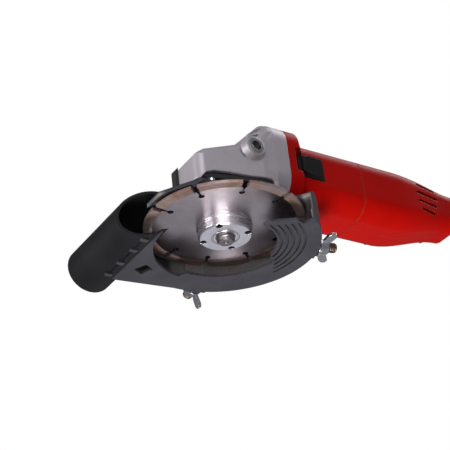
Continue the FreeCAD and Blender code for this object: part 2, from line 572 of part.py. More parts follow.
# brushes and their holders, on the +Y and -Y sides of the commutator
bh, br, bs = [], [], []
for sy in (-1, 1):
    y0, y1 = (10.55, 21.0) if sy > 0 else (-21.0, -10.55)
    br.append(box(128.5, 135.0, y0, y1, AXIS_Z - 2.5, AXIS_Z + 2.5))
    h0, h1 = (12.5, 24.3) if sy > 0 else (-24.3, -12.5)
    h = box(126.9, 136.6, h0, h1, AXIS_Z - 4.1, AXIS_Z + 4.1)
    c0, c1 = (12.0, 23.2) if sy > 0 else (-23.2, -12.0)
    h = h.cut(box(128.4, 135.1, c0, c1, AXIS_Z - 2.6, AXIS_Z + 2.6))
    bh.append(h)
    s0 = 21.0 if sy > 0 else -23.2
    bs.append(cyl(2.0, 2.2, (131.75, s0, AXIS_Z), (0, 1, 0)).cut(cyl(1.2, 4.0, (131.75, s0 - 1, AXIS_Z), (0, 1, 0))))
out("carbon_brushes", Part.makeCompound(br))
out("brush_holders", Part.makeCompound(bh))
out("brush_springs", Part.makeCompound(bs))

# bearing carrier that holds the rear bearing between the shells
carrier = xc(12.5, 144.0, 151.0).cut(xc(9.5, 140.0, 155.0))
for sy in (-1, 1):
    y0, y1 = (12.0, 24.3) if sy > 0 else (-24.3, -12.0)
    carrier = carrier.fuse(box(145.5, 149.5, y0, y1, AXIS_Z - 5.0, AXIS_Z + 5.0))
out("rear_bearing_carrier", clean(carrier))

# ============================ switch ==========================================
# slider pad: wedge-shaped thumb pad on a flat base
base = box(SW_X0, SW_X1, -27.2, -25.7, SW_Z0, SW_Z1)
pp = [(SW_X0 + 1.4, SW_Z0 + 3.6), (SW_X0 + 10.0, SW_Z0 + 1.4), (SW_X1 - 6.0, SW_Z0 + 0.8), (SW_X1 - 1.2, SW_Z0 + 5.0),
      (SW_X1 - 2.4, SW_Z1 - 1.4), (SW_X0 + 6.0, SW_Z1 - 0.8), (SW_X0 + 1.6, SW_Z1 - 2.4)]


def xz_wire(points, y, shrink=0.0):
    cx = sum(p[0] for p in points) / len(points)
    cz = sum(p[1] for p in points) / len(points)
    q = [V(cx + (p[0] - cx) * (1 - shrink), y, cz + (p[1] - cz) * (1 - shrink)) for p in points]
    q.append(q[0])
    return Part.makePolygon(q)


padk = Part.makeLoft([xz_wire(pp, -27.2), xz_wire(pp, -29.6, 0.05), xz_wire(pp, -31.2, 0.2)], True, True)
slider = base.fuse(padk)
slider = slider.fuse(box(SW_X0 + 8.5, SW_X0 + 15.5, -25.9, -24.7, 52.6, 56.4))
out("switch_slider", clean(slider))
# leg and rod inside the housing
leg = box(SW_X0 + 10.0, SW_X0 + 14.0, -24.7, -22.4, 52.8, 56.2)
leg = leg.fuse(box(SW_X0 + 10.0, SW_X0 + 14.0, -22.4, -20.8, 52.8, 69.4))
rod = leg.fuse(box(SW_X0 + 10.0, SW_X0 + 14.0, -22.4, -18.4, 67.2, 69.4))
rod = rod.fuse(box(SW_X0 + 10.0, 167.5, -20.6, -18.4, 67.2, 69.4))
out("switch_rod", clean(rod))
swb = box(158.0, 180.0, -17.8, -5.0, 57.0, 71.0)
swb = swb.fuse(box(170.0, 176.0, -18.4, -17.7, 65.0, 70.0))
out("switch_block", clean(swb))
out("suppression_capacitor", xc(6.0, 160.0, 184.0, 8.0, 64.0))

# ============================ shroud ==========================================
def outer_body(z0, z1, R, dy):
    """Disc of the shroud and the straight-sided part that leads to the tube."""
    c = zc(R, z0, z1)
    a = 94.0
    x1, y1 = polar(SHROUD_R, a)
    t = (77.6 - 71.5) / 60.0
    p = poly([(20.0, 0.0), (20.0, 60.0 - dy), (x1 + 1.0, y1 - dy), (TUBE_X, y1 + t * (x1 - TUBE_X) - dy), (TUBE_X, 0.0)], z0, z1)
    return c.fuse(p)


REMOVE = [(10.9, -42.3), (28.3, -53.0), (35.8, -50.6), (42.5, -65.5), (60.0, -120.0), (-140.0, -120.0), (-140.0, 0.0),
          (-57.0, 0.0), (-57.0, -1.0), (-30.0, -1.0), (0.0, -30.0)]


def removal(z0, z1):
    return poly(REMOVE, z0, z1)


def window(z0, z1):
    z = z0
    A0, A1 = polar(PANEL_R, -76.5), polar(PANEL_R, -3)
    A2 = polar(WINDOW_R_SMALL, 10)
    A3 = polar(WINDOW_R_SMALL, 97)
    A4 = polar(WINDOW_R_LARGE, 101)
    A5 = polar(WINDOW_R_LARGE, 180)
    edges = [arc2(PANEL_R, -76.5, -3, z), seg2(A1, A2, z), arc2(WINDOW_R_SMALL, 10, 97, z), seg2(A3, A4, z),
             arc2(WINDOW_R_LARGE, 101, 180, z), seg2(A5, (-54.8, -80.0), z), seg2((-54.8, -80.0), (0.0, -80.0), z),
             seg2((0.0, -80.0), (10.9, -42.3), z), seg2((10.9, -42.3), A0, z)]
    return Part.Face(Part.Wire(edges)).extrude(V(0, 0, z1 - z0))


tube_outer = yc(TUBE_R, -80.0, TUBE_END_Y, TUBE_X, TUBE_Z)
tube_keepout = yc(TUBE_R, -80.0, TUBE_END_Y + 10, TUBE_X, TUBE_Z)
left_of_tube = box(-140.0, TUBE_X, -100.0, 120.0, -60.0, 60.0)

# ---- front cover: plate with window and grooves, and a short outer lip
cover = outer_body(PLATE_Z, PLATE_Z + PLATE_T, SHROUD_R, 0.0)
cover = fillet(cover, [e for e in cover.Edges if e.BoundBox.ZMax < PLATE_Z + 0.01 and e.Length > 30.0], 1.0)
lip = outer_body(PLATE_Z + PLATE_T, COVER_LIP_Z, SHROUD_R, 0.0).cut(
    outer_body(PLATE_Z, COVER_LIP_Z + 1, SHROUD_R - SKIRT_T, SKIRT_T))
cover = cover.fuse(lip)
# flat pads for the wing nuts
PAD_R = 72.6
for a in STUD_ANGLES:
    b = box(60.0, PAD_R, -9.0, 9.0, PLATE_Z, COVER_LIP_Z).cut(zc(SHROUD_R - SKIRT_T, PLATE_Z - 1, COVER_LIP_Z + 1))
    cover = cover.fuse(rot_z(b, a))
cover = cover.cut(removal(PLATE_Z - 1, BACK_Z1 + 1)).cut(window(PLATE_Z - 1, PLATE_Z + PLATE_T + 0.01))
# the grooves
for i, r in enumerate(GROOVE_RADII):
    g = zc(r + GROOVE_W / 2, PLATE_Z - 1, PLATE_Z + GROOVE_D).cut(zc(r - GROOVE_W / 2, PLATE_Z - 2, PLATE_Z + 2))
    a_end = (0.0, 6.0, 11.5, 16.0, 20.0)[i]
    a_start = (-72.0, -67.0, -63.5, -61.0, -59.0)[i] + 1.2
    p0 = polar(100, a_start)
    p1 = polar(100, (a_start + a_end) / 2)
    p2 = polar(100, a_end)
    g = g.common(poly([(0, 0), p0, (p1[0] * 1.6, p1[1] * 1.6), p2], PLATE_Z - 2, PLATE_Z + 2))
    cover = cover.cut(g)
# rectangular clip window near the tube
cw = box(-5.6, 5.6, -5.0, 5.0, PLATE_Z - 1, PLATE_Z + PLATE_T + 1)
cw.rotate(V(0, 0, 0), V(0, 0, 1), -60.5)
cw.translate(V(-40.9, 53.9, 0))
cover = cover.cut(cw)
cover = cover.cut(tube_keepout).cut(left_of_tube)
for a in STUD_ANGLES:
    h = cyl(STUD_R + 0.2, 20.0, (60.0, 0, STUD_Z), (1, 0, 0))
    cover = cover.cut(rot_z(h, a))
out("shroud_cover", clean(cover))

# ---- back shell: back plate, outer skirt and stud lugs, and the split neck collar on it
back = outer_body(BACK_Z0, BACK_Z1, SHROUD_R, 0.0)
skirt = outer_body(COVER_LIP_Z, BACK_Z0, SHROUD_R, 0.0).cut(outer_body(COVER_LIP_Z - 1, BACK_Z0 + 1, SHROUD_R - SKIRT_T, SKIRT_T))
back = back.fuse(skirt)
back = fillet(back, [e for e in back.Edges if e.BoundBox.ZMin > BACK_Z1 - 0.01 and e.Length > 30.0], 3.8)
LUG_R0, LUG_R1 = 67.0, SHROUD_R - SKIRT_T - 0.05
for a in STUD_ANGLES:
    lug = box(50.0, LUG_R1 + 0.3, -8.0, 8.0, PLATE_Z + PLATE_T + 0.3, BACK_Z0)
    lug = lug.cut(zc(LUG_R0, -40, 40)).common(zc(LUG_R1, -40, 40))
    back = back.fuse(rot_z(lug, a))
# the wall side is open: straight edge from the tube mouth past the neck
BREM = [(41.6, -56.0), (49.0, -67.6), (60.0, -120.0), (-140.0, -120.0), (-140.0, -12.6), (-62.3, -12.6), (-53.4, -26.1),
        (-43.5, -41.0), (-31.0, -41.0), (-24.0, -30.0), (24.0, -30.0), (33.0, -45.4)]
back = back.cut(poly(BREM, COVER_LIP_Z - 20, BACK_Z1 + 1))
back = back.cut(zc(80.0, -30, 40).cut(zc(66.0, -31, 41)).common(box(-140, -20, -100, 0, -30, 40)))
back = back.cut(zc(NECK_R + NECK_CLEAR, 0.0, 30.0))
# split of the collar
CLAMP_A = 118.0
split = box(20.0, 40.0, -1.0, 1.0, BACK_Z1 - 1.0, 30.0)
collar = zc(26.0, BACK_Z1, 19.0).cut(zc(NECK_R + NECK_CLEAR, 0.0, 30.0)).cut(rot_z(split, CLAMP_A))
out("shroud_collar", clean(collar))
# in front of the tube's mouth the back plate runs on as a narrow band
mouth_side = [(x, MOUTH_Y0 - MOUTH_SLOPE * (x - TUBE_X) - 0.5) for x in (-90.0, -30.0)] + [(-30.0, -120.0), (-90.0, -120.0)]
back = back.cut(tube_keepout.cut(poly(mouth_side, -40, 40))).cut(left_of_tube)
back = back.cut(tube_keepout.common(box(-140.0, -20.0, -120.0, 120.0, -40.0, BACK_Z0)))
for a in STUD_ANGLES:
    h = cyl(STUD_R, 20.0, (60.0, 0, STUD_Z), (1, 0, 0))
    back = back.cut(rot_z(h, a))
back = clean(back)
print("back solids", [round(s.Volume) for s in back.Solids])
back = max(back.Solids, key=lambda s: s.Volume)
out("shroud_back", back)

# ---- dust tube
tube = tube_outer.cut(yc(TUBE_IN_R, -90.0, TUBE_END_Y + 1, TUBE_X, TUBE_Z)).cut(
    yc(SOCKET_R, TUBE_END_Y - 25.0, TUBE_END_Y + 1, TUBE_X, TUBE_Z))
m = [(-90.0, MOUTH_Y0 - MOUTH_SLOPE * (-90.0 - TUBE_X)), (-30.0, MOUTH_Y0 - MOUTH_SLOPE * (-30.0 - TUBE_X)), (-30.0, -120.0), (-90.0, -120.0)]
tube = tube.cut(poly(m, -40, 40))
tube = tube.cut(box(TUBE_X, -35.0, -60.0, 71.0, PLATE_Z + PLATE_T + 0.6, BACK_Z0 - 0.2))
# hose end: slightly rounded rim
tube = fillet(tube, [e for e in tube.Edges if e.BoundBox.YMin > TUBE_END_Y - 0.01 and e.Length > 100], 0.8)
# seam along the foot of the tube, and three snap lugs across it
SEAM_X = -63.6
for y0, y1 in ((14.0, 26.0), (30.0, 47.0), (51.0, 66.0)):
    tube = tube.cut(box(SEAM_X - 0.6, SEAM_X + 0.6, y0, y1, -20.0, -18.2))
tube = tube.cut(box(-47.3, -36.0, -20.0, -2.0, -30.0, 30.0))
tube = clean(tube)
tube = max(tube.Solids, key=lambda s: s.Volume)
out("dust_tube", tube)
lugs = []
for y in (12.0, 28.5, 49.0, 68.0):
    s = box(SEAM_X - 2.6, SEAM_X + 3.0, y - 1.7, y + 1.7, -20.4, -15.0)
    s = s.cut(tube_keepout)
    s = max(s.Solids, key=lambda q: -q.BoundBox.ZMin)
    lugs.append(s)
out("snap_lugs", Part.makeCompound(lugs))

# ---- steel clamp band with ears, bolt and nut
band = zc(27.6, 10.0, 18.0).cut(zc(26.0, 9.0, 19.0))
ears = box(26.5, 37.0, -3.9, -1.9, 10.0, 18.0).fuse(box(26.5, 37.0, 1.9, 3.9, 10.0, 18.0))
band = band.fuse(rot_z(ears.cut(zc(26.0, 9.0, 19.0)), CLAMP_A))
band = band.cut(rot_z(box(20.0, 40.0, -1.9, 1.9, 9.0, 19.0), CLAMP_A))
band = band.cut(rot_z(yc(2.6, -10.0, 10.0, 32.5, 14.0), CLAMP_A))
out("clamp_band", clean(band))
cb = yc(2.5, -3.9, 10.0, 32.5, 14.0).fuse(yc(4.2, -7.9, -3.9, 32.5, 14.0)).cut(yc(2.1, -9.0, -5.4, 32.5, 14.0))
out("clamp_bolt", rot_z(cb, CLAMP_A))
hexp = [(32.5 + 4.6 * math.cos(math.radians(60 * i)), 14.0 + 4.6 * math.sin(math.radians(60 * i))) for i in range(6)]
hx = [V(x, 3.9, z) for x, z in hexp]
hx.append(hx[0])
cn = Part.Face(Part.makePolygon(hx)).extrude(V(0, 4.0, 0)).cut(yc(2.5, 0.0, 12.0, 32.5, 14.0))
out("clamp_nut", rot_z(cn, CLAMP_A))

# ---- studs, washers and wing nuts
studs, washers = [], []
for a in STUD_ANGLES:
    s = cyl(STUD_R, 23.0, (65.0, 0, STUD_Z), (1, 0, 0))
    s = fillet(s, [e for e in s.Edges if e.BoundBox.XMin > 87.9], 1.2)
    s = s.cut(zc(67.1, -40, 40))
    studs.append(rot_z(s, a))
    w = cyl(7.2, 1.5, (PAD_R, 0, STUD_Z), (1, 0, 0)).cut(cyl(STUD_R + 0.2, 4.0, (PAD_R - 1, 0, STUD_Z), (1, 0, 0)))
    washers.append(rot_z(w, a))
out("shroud_studs", Part.makeCompound(studs))
out("stud_washers", Part.makeCompound(washers))


def wing_nut(angle, spin):
    x0 = PAD_R + 1.6
    hub = Part.makeCone(6.6, 5.4, 6.6, V(x0, 0, 0), V(1, 0, 0))
    wings = None
    for s in (1, -1):
        w = [(x0 + 1.6, 0.0), (x0 + 0.8, s * 5.5), (x0 + 3.6, s * 13.4), (x0 + 6.4, s * 15.6), (x0 + 9.6, s * 15.2),
             (x0 + 10.8, s * 12.6), (x0 + 8.2, s * 7.6), (x0 + 5.2, s * 4.4), (x0 + 5.2, 0.0)]
        pts = [V(x, y, -1.1) for x, y in w]
        pts.append(pts[0])
        f = Part.Face(Part.makePolygon(pts)).extrude(V(0, 0, 2.2))
        f = fillet(f, [e for e in f.Edges if e.BoundBox.ZLength > 2.1 and abs(e.BoundBox.YMax + e.BoundBox.YMin) > 20], 1.0)
        wings = f if wings is None else wings.fuse(f)
    n = hub.fuse(wings).cut(cyl(STUD_R + RUN, 30.0, (x0 - 5, 0, 0), (1, 0, 0)))
    n = clean(n)
    n.rotate(V(0, 0, 0), V(1, 0, 0), spin)
    n.translate(V(0, 0, STUD_Z))
    return rot_z(n, angle)


out("wing_nut_side", wing_nut(STUD_ANGLES[0], -14.0))
out("wing_nut_rear", wing_nut(STUD_ANGLES[1], 62.0))
print("done")
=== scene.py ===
import bpy
import bmesh
import json
import math
from mathutils import Matrix, Vector


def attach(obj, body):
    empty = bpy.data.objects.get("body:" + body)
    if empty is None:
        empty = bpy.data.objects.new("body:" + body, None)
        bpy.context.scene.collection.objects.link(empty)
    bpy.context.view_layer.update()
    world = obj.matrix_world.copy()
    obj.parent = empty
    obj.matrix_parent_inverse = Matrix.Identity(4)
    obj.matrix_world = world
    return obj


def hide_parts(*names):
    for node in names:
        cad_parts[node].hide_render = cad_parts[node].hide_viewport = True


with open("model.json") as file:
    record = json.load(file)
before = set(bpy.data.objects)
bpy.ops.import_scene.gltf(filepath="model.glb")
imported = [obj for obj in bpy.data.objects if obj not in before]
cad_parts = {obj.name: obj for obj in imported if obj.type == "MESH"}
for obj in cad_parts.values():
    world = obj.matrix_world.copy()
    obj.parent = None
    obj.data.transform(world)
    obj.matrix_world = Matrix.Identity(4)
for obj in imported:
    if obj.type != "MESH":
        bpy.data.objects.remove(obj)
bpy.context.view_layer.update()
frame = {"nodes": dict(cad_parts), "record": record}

SC = bpy.context.scene
NODES = frame["nodes"]
ZS = 0.012                      # row z of the exposed blade face


# ----------------------------------------------------------------------------
# camera and light
# ----------------------------------------------------------------------------
def make_camera():
    az, el, roll = math.radians(-35.0), math.radians(-30.3), math.radians(6.4)
    aim, dist, f = Vector((0, 0, ZS)), 1.0, 1332.0
    back = Vector((math.sin(az) * math.cos(el), -math.cos(az) * math.cos(el), math.sin(el)))
    r0 = Vector((math.cos(az), math.sin(az), 0))
    u0 = back.cross(r0)
    right = r0 * math.cos(roll) - u0 * math.sin(roll)
    up = u0 * math.cos(roll) + r0 * math.sin(roll)
    x, y = (224.3 - 225.0) / f * dist, -(226.0 - 225.0) / f * dist
    pos = aim + back * dist - right * x - up * y
    cd = bpy.data.cameras.new("camera")
    cd.sensor_fit = "HORIZONTAL"
    cd.sensor_width = 36.0
    cd.lens = f / 450.0 * 36.0
    cd.clip_start, cd.clip_end = 0.01, 50.0
    cam = bpy.data.objects.new("camera", cd)
    SC.collection.objects.link(cam)
    m = Matrix((right, up, back)).transposed().to_4x4()
    m.translation = pos
    cam.matrix_world = m
    SC.camera = cam
    return back, right, up


BACK, RIGHT, UP = make_camera()


def area(name, direction, dist, size, power, color=(1, 1, 1), target=(0.06, 0, 0.04), size_y=None):
    d = Vector(direction).normalized()
    ld = bpy.data.lights.new(name, "AREA")
    ld.shape = "RECTANGLE"
    ld.size = size
    ld.size_y = size_y or size
    ld.energy = power
    ld.color = color
    ob = bpy.data.objects.new(name, ld)
    SC.collection.objects.link(ob)
    ob.location = Vector(target) + d * dist
    ob.rotation_mode = "QUATERNION"
    ob.rotation_quaternion = (-d).to_track_quat("-Z", "Y")
    ob.visible_camera = False
    return ob


SC.view_settings.view_transform = "Standard"
SC.view_settings.look = "None"


def make_world():
    w = bpy.data.worlds.new("studio")
    SC.world = w
    w.use_nodes = True
    nt = w.node_tree
    nt.nodes.clear()
    out = nt.nodes.new("ShaderNodeOutputWorld")
    lit = nt.nodes.new("ShaderNodeBackground")
    lit.inputs["Color"].default_value = (0.95, 0.96, 1.0, 1)
    lit.inputs["Strength"].default_value = 0.18
    seen = nt.nodes.new("ShaderNodeBackground")
    seen.inputs["Color"].default_value = (1, 1, 1, 1)
    seen.inputs["Strength"].default_value = 1.0
    lp = nt.nodes.new("ShaderNodeLightPath")
    mix = nt.nodes.new("ShaderNodeMixShader")
    nt.links.new(lp.outputs["Is Camera Ray"], mix.inputs[0])
    nt.links.new(lit.outputs[0], mix.inputs[1])
    nt.links.new(seen.outputs[0], mix.inputs[2])
    nt.links.new(mix.outputs[0], out.inputs["Surface"])


make_world()
KEY = BACK * 0.75 - UP * 0.80 + RIGHT * 0.05
area("key", KEY, 1.3, 0.45, 15.0)
area("front", BACK * 1.0 + UP * 0.05 - RIGHT * 0.08, 1.4, 1.1, 3.6, size_y=0.45)
area("fill_left", BACK * 0.5 - RIGHT * 1.0 + UP * 0.05, 1.3, 0.7, 11.0)
area("top", UP * 1.0 + BACK * 0.45, 1.2, 0.6, 3.4)
area("bounce", Vector((0.495, 0.707, -0.505)), 1.3, 0.7, 0.5, color=(0.88, 0.92, 1.0))
area("rim", -BACK * 0.7 + UP * 0.6 + RIGHT * 0.5, 1.4, 0.7, 5.0)


# ----------------------------------------------------------------------------
# node helpers
# ----------------------------------------------------------------------------
class Tree:
    def __init__(self, name):
        self.mat = bpy.data.materials.new(name)
        self.mat.use_nodes = True
        self.nt = self.mat.node_tree
        self.nt.nodes.clear()
        self.out = self.nt.nodes.new("ShaderNodeOutputMaterial")
        self.bsdf = self.nt.nodes.new("ShaderNodeBsdfPrincipled")
        self.nt.links.new(self.bsdf.outputs[0], self.out.inputs[0])
        tc = self.nt.nodes.new("ShaderNodeTexCoord")
        self.obj = tc.outputs["Object"]
        self.onormal = tc.outputs["Normal"]

    def node(self, kind, ins=None, **props):
        n = self.nt.nodes.new(kind)
        for k, v in props.items():
            setattr(n, k, v)
        for k, v in (ins or {}).items():
            s = n.inputs[k]
            if isinstance(v, bpy.types.NodeSocket):
                self.nt.links.new(v, s)
            elif isinstance(v, tuple) and len(v) == 3 and s.type == "RGBA":
                s.default_value = (*v, 1.0)
            else:
                s.default_value = v
        return n

    def set(self, **kw):
        for k, v in kw.items():
            k = k.replace("_", " ")
            s = self.bsdf.inputs[k]
            if isinstance(v, bpy.types.NodeSocket):
                self.nt.links.new(v, s)
            elif isinstance(v, tuple) and len(v) == 3 and s.type == "RGBA":
                s.default_value = (*v, 1.0)
            else:
                s.default_value = v

    def noise(self, scale, detail=4.0, rough=0.5, vec=None, dist=0.0):
        n = self.node("ShaderNodeTexNoise", {"Vector": vec or self.obj, "Scale": scale, "Detail": detail,
                                             "Roughness": rough, "Distortion": dist})
        return n.outputs[0]

    def voronoi(self, scale, vec=None, feature="F1", out=0):
        n = self.node("ShaderNodeTexVoronoi", {"Vector": vec or self.obj, "Scale": scale}, feature=feature)
        return n.outputs[out]

    def ramp(self, fac, stops, interp="LINEAR"):
        n = self.node("ShaderNodeValToRGB", {0: fac})
        cr = n.color_ramp
        cr.interpolation = interp
        while len(cr.elements) < len(stops):
            cr.elements.new(0.5)
        for e, (p, c) in zip(cr.elements, stops):
            e.position = p
            e.color = (*c, 1.0) if isinstance(c, tuple) else (c, c, c, 1.0)
        return n.outputs[0]

    def math(self, op, a, b=None, clamp=False):
        n = self.nt.nodes.new("ShaderNodeMath")
        n.operation = op
        n.use_clamp = clamp
        for i, v in enumerate((a, b)):
            if v is None:
                continue
            if isinstance(v, bpy.types.NodeSocket):
                self.nt.links.new(v, n.inputs[i])
            else:
                n.inputs[i].default_value = v
        return n.outputs[0]

    def remap(self, v, a, b, c, d):
        n = self.node("ShaderNodeMapRange", {0: v, 1: a, 2: b, 3: c, 4: d})
        return n.outputs[0]

    def mix(self, fac, a, b, blend="MIX"):
        n = self.nt.nodes.new("ShaderNodeMix")
        n.data_type = "RGBA"
        n.blend_type = blend
        for i, v in ((0, fac), (6, a), (7, b)):
            s = n.inputs[i]
            if isinstance(v, bpy.types.NodeSocket):
                self.nt.links.new(v, s)
            elif isinstance(v, tuple):
                s.default_value = (*v, 1.0)
            else:
                s.default_value = v
        return n.outputs[2]

    def bump(self, height, strength, distance, normal=None):
        ins = {"Height": height, "Strength": strength, "Distance": distance}
        if normal is not None:
            ins["Normal"] = normal
        return self.node("ShaderNodeBump", ins).outputs[0]

    def round_edges(self, radius, samples=4):
        n = self.node("ShaderNodeBevel", {"Radius": radius})
        n.samples = samples
        return n.outputs[0]

    def edge_mask(self, rounded, gain=3.0):
        g = self.node("ShaderNodeNewGeometry")
        d = self.node("ShaderNodeVectorMath", {0: rounded, 1: g.outputs["Normal"]}, operation="DOT_PRODUCT")
        return self.math("MULTIPLY", self.math("SUBTRACT", 1.0, d.outputs["Value"]), gain, clamp=True)

    def xyz(self, vec=None):
        n = self.node("ShaderNodeSeparateXYZ", {0: vec or self.obj})
        return n.outputs[0], n.outputs[1], n.outputs[2]

    def polar(self, cx=0.0, cy=0.0):
        """Radius and angle about the spindle axis."""
        x, y, z = self.xyz()
        if cx:
            x = self.math("SUBTRACT", x, cx)
        if cy:
            y = self.math("SUBTRACT", y, cy)
        r = self.math("SQRT", self.math("ADD", self.math("MULTIPLY", x, x), self.math("MULTIPLY", y, y)))
        return r, self.math("ARCTAN2", y, x), z

    def combine(self, x, y, z):
        n = self.node("ShaderNodeCombineXYZ", {0: x, 1: y, 2: z})
        return n.outputs[0]


def red_plastic():
    t = Tree("red_plastic")
    big = t.noise(18.0, 3.0, 0.5)
    fine = t.noise(900.0, 3.0, 0.6)
    peel = t.noise(2600.0, 2.0, 0.5)
    col = t.ramp(big, [(0.3, (0.40, 0.0020, 0.0012)), (0.7, (0.47, 0.0034, 0.0014))])
    col = t.mix(t.remap(fine, 0.35, 0.75, 0.0, 0.12), col, (0.52, 0.010, 0.004))
    rd = t.round_edges(0.0012)
    em = t.edge_mask(rd, 2.2)
    col = t.mix(t.math("MULTIPLY", em, 0.45), col, (0.62, 0.09, 0.04))
    scratch = t.noise(60.0, 8.0, 0.7, vec=t.node("ShaderNodeMapping", {0: t.obj, 3: (1.0, 9.0, 9.0)}).outputs[0])
    rough = t.remap(t.mix(0.5, fine, scratch), 0.3, 0.7, 0.30, 0.42)
    nrm = t.bump(peel, 0.10, 0.0002, rd)
    nrm = t.bump(t.noise(140.0, 2.0), 0.06, 0.0006, nrm)
    t.set(Base_Color=col, Roughness=rough, Normal=nrm, Specular_IOR_Level=0.05)
    return t.mat


def cast_alloy():
    t = Tree("cast_alloy")
    rd = t.round_edges(0.0016)
    em = t.edge_mask(rd, 1.6)
    blot = t.noise(22.0, 4.0, 0.6)
    grain = t.noise(1400.0, 4.0, 0.65)
    pits = t.voronoi(900.0)
    col = t.ramp(blot, [(0.3, (0.53, 0.48, 0.535)), (0.7, (0.63, 0.575, 0.635))])
    col = t.mix(t.remap(grain, 0.35, 0.75, 0.0, 0.35), col, (0.34, 0.31, 0.34))
    col = t.mix(t.math("MULTIPLY", em, 0.6), col, (0.68, 0.66, 0.68))
    # painted shade: the relief under the lower edge is coloured near-black and made rough, standing in for the shadow
    # under the gear case
    x, y, z = t.xyz()
    wide = t.math("ADD", t.math("MULTIPLY", t.math("ADD", x, 0.033), 0.2132), 0.021)
    inner = t.remap(t.math("SUBTRACT", t.math("MINIMUM", wide, 0.0323), t.math("ABSOLUTE", y)), 0.0026, 0.0030, 0.0, 1.0)
    painted_under_shade = t.math("MULTIPLY", inner, t.remap(z, 0.0430, 0.0432, 1.0, 0.0), clamp=True)
    painted_under_shade = t.math("MULTIPLY", painted_under_shade, t.remap(x, 0.0290, 0.0292, 1.0, 0.0), clamp=True)
    painted_under_shade = t.math("MULTIPLY", painted_under_shade, t.remap(x, -0.0294, -0.0290, 0.0, 1.0), clamp=True)
    painted_under_shade = t.math("MULTIPLY", painted_under_shade, t.remap(y, 0.0, 0.0004, 1.0, 0.0), clamp=True)
    col = t.mix(painted_under_shade, col, (0.010, 0.010, 0.011))
    rough = t.math("MAXIMUM", t.remap(grain, 0.3, 0.7, 0.40, 0.54), t.math("MULTIPLY", painted_under_shade, 0.7))
    h = t.mix(0.35, grain, pits)
    nrm = t.bump(h, 0.16, 0.0003, rd)
    nrm = t.bump(t.noise(90.0, 2.0), 0.10, 0.0010, nrm)
    t.set(Base_Color=col, Roughness=rough, Normal=nrm, Metallic=0.55, Specular_IOR_Level=0.5)
    return t.mat


def blade_steel():
    t = Tree("blade_steel")
    r, a, z = t.polar()
    rings = t.noise(1.0, 5.0, 0.7, vec=t.combine(t.math("MULTIPLY", r, 5200.0), t.math("MULTIPLY", a, 3.0), z))
    rings2 = t.noise(1.0, 3.0, 0.6, vec=t.combine(t.math("MULTIPLY", r, 900.0), t.math("MULTIPLY", a, 1.2), z))
    blot = t.noise(38.0, 5.0, 0.6)
    brown = t.noise(70.0, 6.0, 0.65, dist=0.6)
    col = t.ramp(blot, [(0.3, (0.52, 0.44, 0.47)), (0.72, (0.68, 0.62, 0.68))])
    rim = t.remap(r, 0.040, 0.056, 0.0, 1.0)
    heat = t.math("MULTIPLY", t.remap(brown, 0.42, 0.62, 0.0, 1.0), rim, clamp=True)
    col = t.mix(t.math("MULTIPLY", heat, 0.55), col, (0.40, 0.22, 0.16))
    col = t.mix(t.remap(rings, 0.3, 0.7, 0.0, 0.25), col, (0.30, 0.27, 0.27))
    rough = t.remap(t.mix(0.5, rings, rings2), 0.3, 0.7, 0.27, 0.40)
    nrm = t.bump(rings, 0.10, 0.00006)
    wall = t.remap(t.math("ABSOLUTE", t.xyz(t.onormal)[2]), 0.3, 0.6, 1.0, 0.0)
    col = t.mix(wall, col, (0.035, 0.028, 0.028))
    rough = t.math("MAXIMUM", rough, t.math("MULTIPLY", wall, 0.75))
    tan = t.node("ShaderNodeTangent", direction_type="RADIAL", axis="Z").outputs[0]
    t.set(Base_Color=col, Roughness=rough, Normal=nrm, Metallic=1.0, Anisotropic=0.86, Anisotropic_Rotation=0.25,
          Tangent=tan)
    return t.mat


def diamond():
    t = Tree("diamond_segment")
    r, a, z = t.polar()
    grit = t.voronoi(1500.0)
    speck = t.noise(1100.0, 5.0, 0.75)
    blot = t.noise(60.0, 4.0, 0.6)
    col = t.ramp(blot, [(0.32, (0.33, 0.19, 0.15)), (0.5, (0.46, 0.31, 0.27)), (0.68, (0.42, 0.36, 0.36))])
    col = t.mix(t.remap(speck, 0.45, 0.62, 0.0, 0.7), col, (0.20, 0.15, 0.14))
    col = t.mix(t.remap(grit, 0.0, 0.22, 0.6, 0.0), col, (0.70, 0.62, 0.50))
    rough = t.remap(speck, 0.3, 0.7, 0.34, 0.58)
    nrm = t.bump(t.mix(0.5, grit, speck), 0.35, 0.00025, t.round_edges(0.0003))
    tan = t.node("ShaderNodeTangent", direction_type="RADIAL", axis="Z").outputs[0]
    t.set(Base_Color=col, Roughness=rough, Normal=nrm, Metallic=0.75, Anisotropic=0.4, Tangent=tan)
    return t.mat


